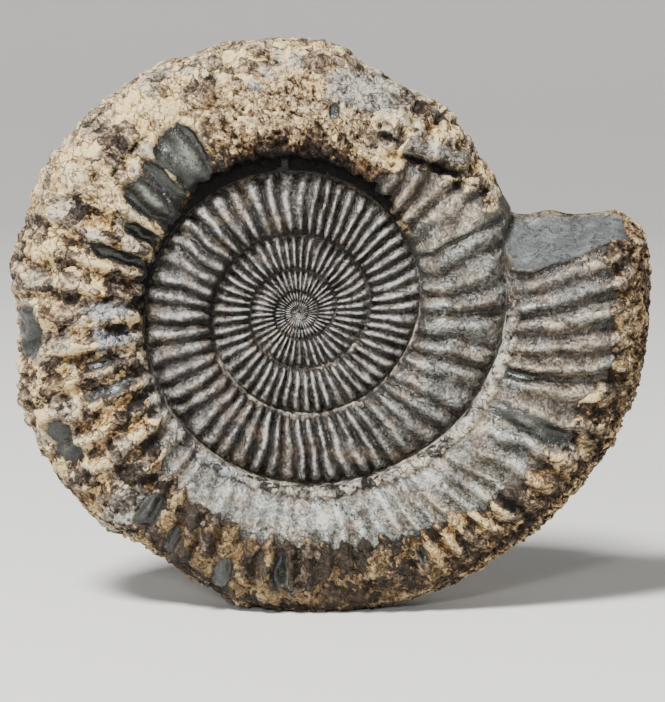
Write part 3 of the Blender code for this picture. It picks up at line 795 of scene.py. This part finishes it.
def coil_side(turn, across, side):
    """Places of one side's points on the mould and on the crust, and what their materials read."""
    p = side_points(turn, across, side)
    add_ribs(p)
    add_crust(p)
    crust_relief, light = crust_look(p)
    mould_relief, worn = mould_look(p)

    # Painted shade on the umbilical wall, full at the shaded top of the umbilicus and half elsewhere, and in
    # the crevice and the gaps
    ragged_across = p.pattern + 0.05 * p.middle + 0.02 * p.fine
    wall = 1 - ease(ragged_across, 0.04 + 0.04 * p.shaded, 0.09 + 0.14 * p.shaded)
    dark = 0.5 + 0.5 * np.maximum(p.shaded, band(p.angle, UPPER_WALL))
    wall = wall * p.last * (1 - p.ledge) * dark
    painted_shade = np.maximum.reduce([wall, p.crevice, p.gap])
    old_flake = 0.7 * ease(0.36 - p.flake, 0.0, 0.05) * p.flaky * (1 - p.vein)
    # The ribs' share lightens their crests and darkens their grooves and the seams in the colour: painted
    # shade
    painted_seam_shading = ease(p.pattern, 0.02, 0.14) * (1 - 0.5 * ease(p.pattern, 0.93, 1.0))
    mould_shares = {
        "grey": ease(turn + 0.05 * p.broad, 5.70, 5.86),
        "tone": np.where(p.last > 0, mould_tone(p.angle), 0.5 + 0.12 * (turn < 5)) + 0.12 * p.middle,
        "rib": (p.rib + (0.3 - p.rib) * 0.6 * p.faint) * painted_seam_shading,
        "stain": p.last * stain(p.angle) * ease(p.broad + 0.7 * p.middle + 0.6 * p.pattern, 0.0, 0.5),
        "worn": worn,
        "clean": ease(p.window, -0.0003, 0.0003) * p.last,
        # Painted highlight: the windows grow lighter towards their middles and darker at their edges, most on
        # the right
        "painted_window_highlight": ease(p.window, 0.0, 0.0022) * (1 + 1.3 * ease(p.angle, 320, 330)) * p.last,
        "fill": p.broken,
        # The mould's painted shade also darkens it just beside the crust's border
        "painted_shade": np.maximum(painted_shade, 0.7 * ease(p.left, -0.0003, 0.0001)) * (1 - p.broken),
    }
    crust_shares = {
        "light": 0.46 + 0.36 * light,
        "layer": p.layer,
        "layered": p.layered,
        "brown": p.bottom * (1 - p.ledge),
        # A painted shadow line just inside the crust's border
        "painted_edge_shadow": 1 - ease(p.left, 0.00005, 0.0004),
        "ochre": patch(p, OCHRE_SPOTS, (-0.0005, 0.0007), 2 * p.ragged),
        "pale": patch(p, PALE_SPOTS, (-0.0002, 0.0004), p.ragged),
        "grey": np.maximum.reduce([p.greyed, p.slab, p.ledge, old_flake]),
        "blue": patch(p, BLUE_SPOTS, (-0.0003, 0.0005), 2 * p.ragged),
        "rough": p.rough,
        "painted_shade": painted_shade,
    }
    return list(body_points(p, mould_relief, crust_relief)), (mould_shares, crust_shares)


def coil_bodies():
    """The mould's and the crust's meshes."""
    turn, across, triangles = coil_sheet()
    count = len(turn)
    sides = [coil_side(turn, across, side) for side in (FRONT, BACK)]
    other = np.where(across >= 2, np.arange(count), np.arange(count) + count)
    triangles = np.concatenate([triangles, other[triangles][:, ::-1]])
    used, numbers = np.unique(triangles, return_inverse=True)
    faces = numbers.reshape(-1, 3).tolist()

    meshes = []
    for body, name in enumerate(("mould", "crust")):
        points = np.concatenate([side[0][body] for side in sides])[used] + np.array(COIL_CENTRE)
        points[:, 2] = np.maximum(points[:, 2], 0.0)
        mesh = bpy.data.meshes.new("ammonite_" + name)
        mesh.from_pydata(points.tolist(), [], faces)
        for share in sides[0][1][body]:
            values = np.concatenate([side[1][body][share] for side in sides])[used]
            mesh.attributes.new(share, "FLOAT", "POINT").data.foreach_set("value", values.astype(np.float32))
        mesh.update()
        meshes.append(mesh)
    return meshes


def thinned(mesh, most):
    """A piece with no more than that many triangles, kept where the surface bends."""
    name = mesh.name
    body = bpy.data.objects.new(name, mesh)
    bpy.context.collection.objects.link(body)
    thinning = body.modifiers.new("thinning", "DECIMATE")
    thinning.ratio = most / len(mesh.polygons)
    graph = bpy.context.evaluated_depsgraph_get()
    body.data = bpy.data.meshes.new_from_object(body.evaluated_get(graph))
    body.modifiers.clear()
    bpy.data.meshes.remove(mesh)
    body.data.name = name
    body.data.shade_smooth()
    return body


class Nodes:
    """A material's node tree, with short ways to add what the fossil's surfaces use."""

    def __init__(self, name):
        self.material = bpy.data.materials.new(name)
        self.material.use_nodes = True
        self.tree = self.material.node_tree
        self.surface = self.tree.nodes["Principled BSDF"]
        self.place = self.tree.nodes.new("ShaderNodeTexCoord").outputs["Object"]

    def feed(self, value, socket):
        if isinstance(value, bpy.types.NodeSocket):
            self.tree.links.new(value, socket)
        else:
            socket.default_value = value

    def add(self, kind, **inputs):
        """A new node with these inputs, where an underscore stands for a space in an input's name."""
        node = self.tree.nodes.new("ShaderNode" + kind)
        for name, value in inputs.items():
            self.feed(value, node.inputs[name.replace("_", " ")])
        return node

    def share(self, name):
        node = self.add("Attribute")
        node.attribute_name = name
        return node.outputs["Fac"]

    def mix(self, factor, a, b):
        node = self.add("Mix")
        node.data_type = "RGBA"
        for value, socket in zip((factor, a, b), (0, 6, 7)):
            value = (*value, 1.0) if isinstance(value, tuple) else value
            self.feed(value, node.inputs[socket])
        return node.outputs[2]

    def maths(self, operation, a, b=0.0):
        node = self.add("Math")
        node.operation = operation
        self.feed(a, node.inputs[0])
        self.feed(b, node.inputs[1])
        return node.outputs[0]

    def times(self, a, b):
        return self.maths("MULTIPLY", a, b)

    def most(self, a, b):
        return self.maths("MAXIMUM", a, b)

    def rest(self, share):
        return self.maths("SUBTRACT", 1.0, share)

    def total(self, *parts):
        """The sum of parts, each a value and its strength."""
        value = 0.0
        for part, strength in parts:
            value = self.maths("ADD", value, self.times(part, strength))
        return value

    def between(self, value, low, high, to_low=0.0, to_high=1.0):
        node = self.add("MapRange", Value=value, From_Min=low, From_Max=high, To_Min=to_low, To_Max=to_high)
        node.interpolation_type = "SMOOTHSTEP"
        return node.outputs["Result"]

    def noise(self, size, detail=3.0, roughness=0.6, output="Fac"):
        node = self.add("TexNoise", Vector=self.place, Scale=1 / size, Detail=detail, Roughness=roughness)
        return node.outputs[output]

    def creases(self, size, width):
        """1 on thin ragged lines and 0 between them."""
        away = self.maths("ABSOLUTE", self.maths("SUBTRACT", self.noise(size, 5.0, 0.55), 0.5))
        return self.between(away, 0.0, width, 1.0, 0.0)

    def layers(self, size, step, roughness):
        """How high each of some worn layers lies, 1 along their upper edges, and 1 along their feet, which
        the materials darken as painted shadow.
        """
        noise = self.noise(size, 4.0, roughness)
        within = self.maths("FRACT", self.maths("DIVIDE", noise, step))
        rise = self.between(within, 0.0, 0.2)
        height = self.maths("ADD", self.maths("SNAP", noise, step), self.times(rise, step))
        edge = self.times(rise, self.between(within, 0.22, 0.38, 1.0, 0.0))
        return height, edge, self.between(within, 0.86, 1.0)

    def flecks(self, size):
        """1 on small flecks, -1 on small pits and 0 between them."""
        noise = self.noise(size)
        pits = self.between(noise, 0.42, 0.45, 1.0, 0.0)
        return self.maths("SUBTRACT", self.between(noise, 0.55, 0.58), pits)

    def chips(self, size):
        """A number from 0 to 1 for each of many ragged chips, and 1 on the lines between them."""
        moved = self.add("VectorMath")
        moved.operation = "MULTIPLY_ADD"
        parts = self.noise(size / 1.5, 4.0, 0.5, "Color"), (2.2 * size,) * 3, self.place
        for part, socket in zip(parts, moved.inputs):
            self.feed(part, socket)
        kinds, edges = (self.add("TexVoronoi", Vector=moved.outputs[0], Scale=1 / size) for _ in range(2))
        kinds.feature, edges.feature = "SMOOTH_F1", "DISTANCE_TO_EDGE"
        kinds.inputs["Smoothness"].default_value = CHIP_SMOOTHNESS
        return kinds.outputs["Color"], self.between(edges.outputs["Distance"], 0.0, 0.10, 1.0, 0.0)

    def ramp(self, value, stops):
        node = self.add("ValToRGB", Fac=value)
        elements = node.color_ramp.elements
        while len(elements) < len(stops):
            elements.new(0.5)
        for element, (position, *colour) in zip(elements, stops):
            element.position = position
            element.color = (*colour, 1.0)
        return node.outputs["Color"]

    def finish(self, colour, roughness, height, distance, specular):
        """Feed what was worked out to the shader, and return the material."""
        normal = self.add("Bump", Height=height, Distance=distance).outputs["Normal"]
        names = "Base Color", "Roughness", "Normal", "Specular IOR Level"
        for name, value in zip(names, (colour, roughness, normal, specular)):
            self.feed(value, self.surface.inputs[name])
        return self.material


def mould_material():
    nodes = Nodes("fossil_mould")
    share, mix, total, between, times = nodes.share, nodes.mix, nodes.total, nodes.between, nodes.times
    rib, worn, clean, fill, tone = map(share, ("rib", "worn", "clean", "fill", "tone"))
    patchy, grain = nodes.noise(0.0035, 4.0), nodes.noise(0.0010, 5.0, 0.7)
    speck, fleck = nodes.noise(0.00038), nodes.flecks(0.0007)
    crack = times(nodes.creases(0.0034, 0.018), between(patchy, 0.40, 0.52))
    layer, edge, painted_foot_shadow = nodes.layers(0.0042, 0.10, 0.45)
    # Narrow, broken bright lines along the rib crests: a painted glint
    crest = nodes.maths("POWER", nodes.most(rib, 0.0), 4.0)
    painted_glint = times(crest, between(nodes.noise(0.0012), 0.40, 0.58, 0.3, 1.4))

    # The ribs lighten the colour on their crests and darken it in their grooves and at the seams, and the
    # layers' feet darken it: painted shade, here and in the bare stone below
    light = total(
        (rib, 0.44), (painted_glint, 0.34), (tone, 0.5), (grain, 0.8), (speck, 0.8), (patchy, 1.1), (fleck, 0.09),
        (painted_foot_shadow, -0.15), (1.0, -1.52),
    )
    shell = nodes.ramp(light, SHELL_COLOURS)
    light = total(
        (rib, 0.34), (tone, 0.8), (grain, 0.8), (speck, 0.8), (patchy, 0.9), (fleck, 0.10), (layer, 0.6),
        (edge, 0.12), (painted_foot_shadow, -0.26), (1.0, -1.80),
    )
    bare, tan = nodes.ramp(light, BARE_COLOURS), nodes.ramp(light, TAN_COLOURS)
    colour = mix(share("grey"), shell, mix(share("stain"), bare, tan))
    colour = mix(times(worn, 0.5), colour, tan)
    # The windows' clean stone, with a painted highlight towards their middles
    window_lightness = total((patchy, 0.6), (speck, 0.9), (rib, 0.3), (share("painted_window_highlight"), 0.5), (1.0, -0.66))
    colour = mix(clean, colour, nodes.ramp(window_lightness, WINDOW_COLOURS))
    face = nodes.ramp(total((patchy, 1.2), (grain, 0.8), (1.0, -0.5)), FACE_COLOURS)
    colour = mix(times(fill, nodes.rest(worn)), colour, face)
    colour = mix(times(crack, 0.75), colour, MOULD_CRACK_COLOUR)
    # Painted shade on the umbilical wall, in the crevice, the gaps and beside the crust's border
    colour = mix(share("painted_shade"), colour, PAINTED_SHADE_COLOUR)

    gloss = between(grain, 0.40, 0.60, 0.10, 0.27)
    rough = total((gloss, 1.0), (worn, 0.25), (fill, 0.3), (clean, 0.12), (share("painted_shade"), 0.6))
    height = total((grain, 0.8), (speck, 1.0), (fleck, 0.12), (crack, -0.5), (layer, 2.2))
    height = times(height, nodes.rest(times(clean, 0.75)))
    return nodes.finish(colour, rough, height, MOULD_BUMP, MOULD_SPECULAR)


def crust_material():
    nodes = Nodes("fossil_crust")
    share, mix, total, between, times = nodes.share, nodes.mix, nodes.total, nodes.between, nodes.times
    patchy, grain = nodes.noise(0.004, 4.0), nodes.noise(0.0011, 5.0, 0.7)
    speck, fleck = nodes.noise(0.0004, 3.0, 0.7), nodes.flecks(0.0009)
    crack = times(nodes.creases(0.0050, 0.022), between(patchy, 0.50, 0.58))
    chip, seam = nodes.chips(0.0027)
    seam = times(seam, between(grain, 0.42, 0.52))
    layer, edge, painted_foot_shadow = nodes.layers(0.0058, 0.11, 0.36)
    strata = times(nodes.maths("SINE", times(share("layer"), 2 * math.pi)), share("layered"))
    hole = times(between(nodes.noise(0.0006), 0.54, 0.62), share("rough"))
    firm = nodes.rest(times(share("rough"), 0.7))
    plate = times(between(chip, 0.54, 0.60), firm)
    low = times(between(chip, 0.38, 0.44, 1.0, 0.0), firm)

    # The layers' feet darken the colour as painted shadow
    light = total(
        (share("light"), 1.0), (grain, 0.8), (speck, 0.9), (plate, -0.27), (low, 0.10), (edge, 0.14),
        (painted_foot_shadow, -0.30), (chip, -0.28), (hole, -0.3), (fleck, 0.12), (strata, 0.36), (1.0, -0.60),
    )
    rusty = between(nodes.noise(0.0030, 4.0), 0.50, 0.62, 0.12, 0.7)
    rusty = nodes.most(rusty, times(low, 0.8))
    ochre = nodes.most(rusty, times(share("ochre"), 0.85))
    colour = mix(ochre, nodes.ramp(light, CRUST_COLOURS), nodes.ramp(light, OCHRE_COLOURS))
    greyed = nodes.most(times(share("grey"), 0.85), times(plate, 0.35))
    colour = mix(greyed, colour, nodes.ramp(light, STONY_COLOURS))
    colour = mix(times(share("blue"), 0.85), colour, nodes.ramp(light, BLUE_COLOURS))
    colour = mix(times(share("pale"), 0.8), colour, PALE_COLOUR)
    colour = mix(times(share("brown"), 0.57), colour, BROWN_COLOUR)
    # Crack lines, and a painted shadow line along the crust's border, darken the crust
    line = times(nodes.most(crack, seam), 0.7)
    colour = mix(nodes.most(line, times(share("painted_edge_shadow"), 0.7)), colour, CRUST_CRACK_COLOUR)
    # Painted shade on the umbilical wall, in the crevice and the gaps
    colour = mix(share("painted_shade"), colour, PAINTED_SHADE_COLOUR)

    rough = total((between(grain, 0.35, 0.65, 0.42, 0.75), 1.0), (share("painted_shade"), 0.4))
    height = total(
        (grain, 0.9), (speck, 0.6), (layer, 3.0), (chip, 1.3), (fleck, 0.15), (line, -0.5), (hole, -0.4),
        (strata, 0.25),
    )
    return nodes.finish(colour, rough, height, CRUST_BUMP, CRUST_SPECULAR)


def ammonite():
    for mesh, material in zip(coil_bodies(), (mould_material(), crust_material())):
        piece = thinned(mesh, MOST_TRIANGLES)
        piece.data.materials.append(material)
        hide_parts("ammonite")
        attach(piece, "root")


# The studio
FLOOR_PROFILE = ((0.02, 0.0), (0.9, 0.0), (1.2, 0.04), (1.45, 0.16), (1.62, 0.36), (1.7, 0.62), (1.72, 1.6))
FLOOR_SIDES = 96
FLOOR_COLOUR = (0.64, 0.63, 0.61, 1.0)


def floor():
    """A round floor whose edge sweeps up into a wall."""
    points, faces = [(0.0, 0.0, 0.0)], []
    turns = [2 * math.pi * side / FLOOR_SIDES for side in range(FLOOR_SIDES)]
    for radius, height in FLOOR_PROFILE:
        points += [(radius * math.cos(angle), radius * math.sin(angle), height) for angle in turns]
    for side in range(FLOOR_SIDES):
        after = (side + 1) % FLOOR_SIDES
        faces.append((0, 1 + side, 1 + after))
        for ring in range(len(FLOOR_PROFILE) - 1):
            near = 1 + ring * FLOOR_SIDES
            far = near + FLOOR_SIDES
            faces.append((near + side, far + side, far + after, near + after))
    mesh = bpy.data.meshes.new("floor")
    mesh.from_pydata(points, [], faces)
    mesh.shade_smooth()
    plane = bpy.data.objects.new("floor", mesh)
    bpy.context.collection.objects.link(plane)
    material = bpy.data.materials.new("pale_floor")
    material.use_nodes = True
    surface = material.node_tree.nodes["Principled BSDF"]
    surface.inputs["Base Color"].default_value = FLOOR_COLOUR
    surface.inputs["Roughness"].default_value = 0.9
    mesh.materials.append(material)
    plane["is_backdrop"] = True


def area_light(name, azimuth, elevation, distance, size, watts):
    """A square light that faces the fossil, with its azimuth counted from the front to the right."""
    light = bpy.data.lights.new(name, "AREA")
    light.shape = "SQUARE"
    light.size = size
    light.energy = watts
    lamp = bpy.data.objects.new(name, light)
    around, up = math.radians(azimuth), math.radians(elevation)
    way = Vector((math.sin(around) * math.cos(up), -math.cos(around) * math.cos(up), math.sin(up)))
    lamp.location = AIM + distance * way
    lamp.rotation_euler = (-way).to_track_quat("-Z", "Y").to_euler()
    bpy.context.collection.objects.link(lamp)


def studio():
    floor()
    area_light("key", -30.0, 52.0, 1.2, 0.26, 42.0)
    area_light("front", -12.0, 20.0, 1.2, 0.12, 6.0)
    world = bpy.data.worlds.new("studio")
    world.use_nodes = True
    background = world.node_tree.nodes["Background"]
    background.inputs["Color"].default_value = (0.86, 0.88, 0.90, 1.0)
    background.inputs["Strength"].default_value = 0.16
    bpy.context.scene.world = world


def camera():
    data = bpy.data.cameras.new("camera")
    data.sensor_fit = "VERTICAL"
    data.sensor_height = SENSOR_HEIGHT * 1000
    data.lens = data.sensor_height * CAMERA_DISTANCE / VIEW_HEIGHT
    data.clip_start = 0.01
    lens = bpy.data.objects.new("camera", data)
    tilt = math.radians(CAMERA_ELEVATION)
    lens.location = AIM + CAMERA_DISTANCE * Vector((0.0, -math.cos(tilt), math.sin(tilt)))
    lens.rotation_euler = (AIM - lens.location).to_track_quat("-Z", "Y").to_euler()
    bpy.context.collection.objects.link(lens)
    bpy.context.scene.camera = lens


ammonite()
studio()
camera()

boxes = {"cad": cad_box, "visual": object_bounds()}
{name: [list(corner) for corner in box] for name, box in boxes.items()}
